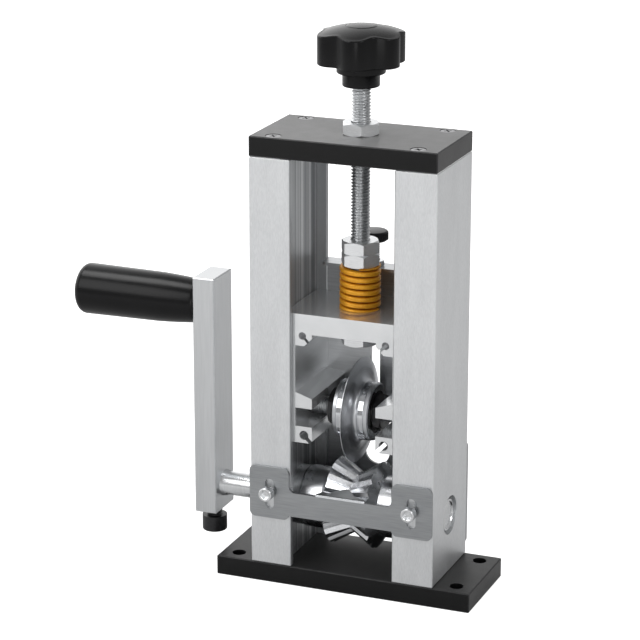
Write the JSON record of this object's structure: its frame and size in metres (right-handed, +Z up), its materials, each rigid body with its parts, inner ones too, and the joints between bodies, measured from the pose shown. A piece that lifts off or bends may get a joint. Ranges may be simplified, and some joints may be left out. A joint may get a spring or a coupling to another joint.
{
  "type": "hand crank wire stripper",
  "caption": "Bench wire stripper: a crank-driven toothed V roller feeds cable under a free-running cutting wheel in a sprung carriage set by a star knob and lead screw.",
  "frame": {"origin": "centre of the base plate's underside, which is also the centre of its four mounting holes", "axes": "+X along the crank shaft away from the crank, +Z up along the lead screw, front (the wire exit side) at -Y"},
  "size_m": [0.217, 0.0699, 0.2793],
  "materials": {
    "blackened_plate": "black oxide on ground flat bar",
    "blackened_sheet": "black oxide sheet",
    "ground_steel": "fine ground, brushed along its length",
    "extruded_aluminium": "sawn and lightly brushed",
    "black_oxide": "black oxide",
    "bright_zinc": "bright zinc plate",
    "turned_steel": "turned and polished",
    "polished_steel": "ground and polished",
    "black_rubber": "matt",
    "black_plastic": "moulded satin",
    "black_knurled": "black oxide, knurled",
    "spring_yellow": "gold passivated spring steel",
    "grey_sheet": "brushed sheet steel"
  },
  "bodies": {
    "frame": {"base_plate": "blackened_plate", "left_upright": "ground_steel", "right_upright": "ground_steel", "base_screws": "black_oxide", "top_plate": "blackened_plate", "top_plate_screws": "bright_zinc", "top_nut": "bright_zinc", "left_bushing": "black_oxide", "right_bushing": "black_oxide", "front_guide_screws": "bright_zinc"},
    "spring_seat": {"die_spring": "spring_yellow"},
    "screw": {"lead_screw": "turned_steel", "star_knob": "black_plastic", "knob_cap": "black_plastic", "upper_lock_nut": "bright_zinc", "lower_lock_nut": "bright_zinc", "retaining_nut": "bright_zinc"},
    "carriage": {"blade_carriage": "extruded_aluminium", "blade_axle": "turned_steel", "axle_nuts": "black_oxide", "axle_end_screws": "black_oxide", "bearing_inner_rings": "polished_steel", "axle_spacer": "turned_steel", "rear_bracket": "grey_sheet", "rear_bracket_screws": "bright_zinc", "bracket_stud_nut": "bright_zinc"},
    "wheel": {"cutting_wheel": "polished_steel", "bearing_outer_rings": "polished_steel", "bearing_balls": "polished_steel", "bearing_seals": "black_rubber"},
    "bracket_screw": {"bracket_thumb_screw": "black_knurled"},
    "crank": {"crank_shaft": "turned_steel", "feed_roller": "polished_steel", "roller_set_screws": "black_oxide", "crank_arm": "turned_steel", "crank_clamp_screw": "black_oxide", "handle_spindle": "bright_zinc"},
    "handle": {"handle_grip": "black_plastic"},
    "front_guide": {"front_guide_plate": "grey_sheet"},
    "rear_guide": {"rear_guide_plate": "blackened_sheet"},
    "left_knob": {"left_rear_knob": "black_knurled"},
    "right_knob": {"right_rear_knob": "black_knurled"}
  },
  "joints": [
    {"name": "crank_turn", "type": "hinge", "parent": "frame", "child": "crank", "pos_m": [0, 0, 0.0393], "axis": [1, 0, 0], "continuous": true},
    {"name": "handle_spin", "type": "hinge", "parent": "crank", "child": "handle", "pos_m": [-0.11, 0, 0.1338], "axis": [1, 0, 0], "continuous": true},
    {"name": "screw_travel", "type": "slide", "parent": "frame", "child": "spring_seat", "axis": [0, 0, 1], "range_m": [-0.0064, 0.036]},
    {"name": "screw_turn", "type": "hinge", "parent": "spring_seat", "child": "screw", "pos_m": [0, 0, 0.2], "axis": [0, 0, 1], "range_deg": [-1440, 8100]},
    {"name": "carriage_float", "type": "slide", "parent": "spring_seat", "child": "carriage", "axis": [0, 0, 1], "range_m": [0, 0.004], "stiffness_N_per_m": 20000, "springref_m": -0.0015, "deforming": ["die_spring"]},
    {"name": "wheel_spin", "type": "hinge", "parent": "carriage", "child": "wheel", "pos_m": [0, 0, 0.0879], "axis": [1, 0, 0], "continuous": true},
    {"name": "bracket_screw_turn", "type": "hinge", "parent": "carriage", "child": "bracket_screw", "pos_m": [0, 0.0184, 0.17], "axis": [0, 0, 1], "range_deg": [-180, 180]},
    {"name": "front_guide_slide", "type": "slide", "parent": "frame", "child": "front_guide", "axis": [0, 0, 1], "range_m": [0, 0.0062]},
    {"name": "rear_guide_slide", "type": "slide", "parent": "frame", "child": "rear_guide", "axis": [0, 0, 1], "range_m": [-0.004, 0.005]},
    {"name": "left_knob_turn", "type": "hinge", "parent": "frame", "child": "left_knob", "pos_m": [-0.0371, 0.03, 0.0498], "axis": [0, 1, 0], "range_deg": [0, 360]},
    {"name": "right_knob_turn", "type": "hinge", "parent": "frame", "child": "right_knob", "pos_m": [0.0371, 0.03, 0.0498], "axis": [0, 1, 0], "range_deg": [0, 360]}
  ],
  "couplings": [
    {"joint": "screw_turn", "follows": "screw_travel", "rad_per_m": 3927}
  ]
}
